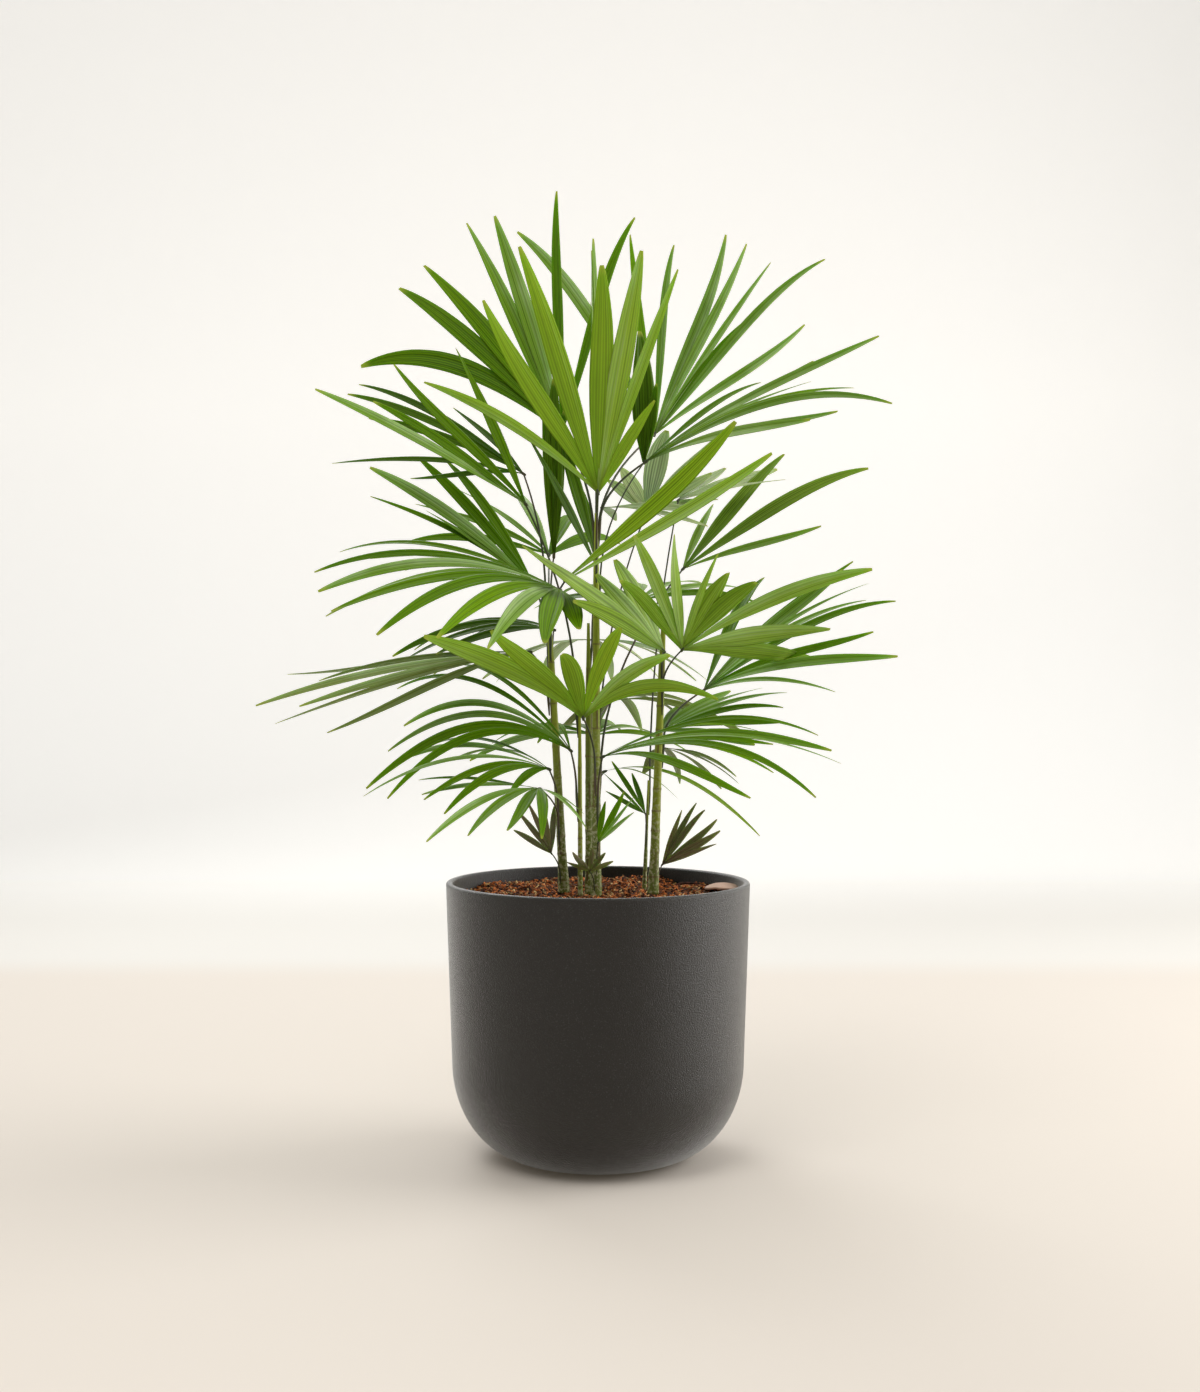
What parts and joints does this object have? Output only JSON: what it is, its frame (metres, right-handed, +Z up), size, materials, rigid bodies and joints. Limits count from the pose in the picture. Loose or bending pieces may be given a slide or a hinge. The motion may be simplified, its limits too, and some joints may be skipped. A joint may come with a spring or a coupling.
{
  "type": "potted lady palm",
  "caption": "Clump of slender palm canes with hand-shaped fronds of long narrow fingers, growing from coir mix in a round-footed pot.",
  "frame": {"origin": "middle of the pot's flat underside", "axes": "+Z up, +X to the right and -Y towards the front, seen from the front"},
  "size_m": [0.7129, 0.6256, 1.1429],
  "materials": {
    "pot": "matt charcoal with a fine grain",
    "soil": "loose reddish coir fibre and chips",
    "bark": "dry pinkish-brown flake",
    "cane": "smooth green cane, mottled, with leaf-scar rings and brown fibre",
    "leaf_bright": "satin yellow-green leaf with fine ribs",
    "leaf_mid": "satin mid-green leaf with fine ribs",
    "leaf_light": "light green leaf underside",
    "leaf_dark": "satin deep green leaf",
    "leaf_olive": "dull olive leaf",
    "leaf_pale": "pale grey-green leaf underside",
    "leaf_brown": "dark brownish young leaf"
  },
  "bodies": {
    "root": {"pot": "pot", "soil": "soil", "bark_flake": "bark", "cane_left": "cane", "cane_centre": "cane", "cane_rear": "cane", "cane_right": "cane", "cane_young_left": "cane", "cane_young_right": "cane", "frond_top_front": "leaf_bright", "frond_top_right": "leaf_mid", "frond_top_rear_right": "leaf_mid", "frond_top_rear_left": "leaf_mid", "spear_left": "leaf_dark", "spear_centre": "leaf_dark", "frond_left_broad": "leaf_mid", "frond_across": "leaf_bright", "frond_left_high": "leaf_mid", "frond_left_top": "leaf_dark", "frond_left_middle": "leaf_mid", "frond_right_front": "leaf_bright", "frond_right_pale": "leaf_light", "frond_right_broad": "leaf_mid", "frond_front_low": "leaf_bright", "frond_left_low": "leaf_mid", "frond_left_lower": "leaf_mid", "frond_front_left": "leaf_mid", "sprout_left": "leaf_brown", "sprout_right": "leaf_brown", "sprout_centre": "leaf_brown", "frond_right_low": "leaf_mid", "frond_right_lower": "leaf_mid", "frond_right_hanging": "leaf_olive", "sprig_right": "leaf_dark", "sprig_centre": "leaf_mid", "frond_rear_high": "leaf_pale", "frond_rear_pale": "leaf_pale", "frond_right_high": "leaf_light", "frond_left_long": "leaf_olive", "frond_left_shade": "leaf_dark", "frond_rear_middle": "leaf_pale", "frond_rear_low": "leaf_olive", "frond_rear_right": "leaf_pale", "sprig_arched": "leaf_light", "frond_top_middle": "leaf_mid", "frond_rear_left": "leaf_mid", "frond_rear_centre": "leaf_mid", "frond_rear_foot": "leaf_mid", "spear_right": "leaf_dark"}
  },
  "joints": []
}
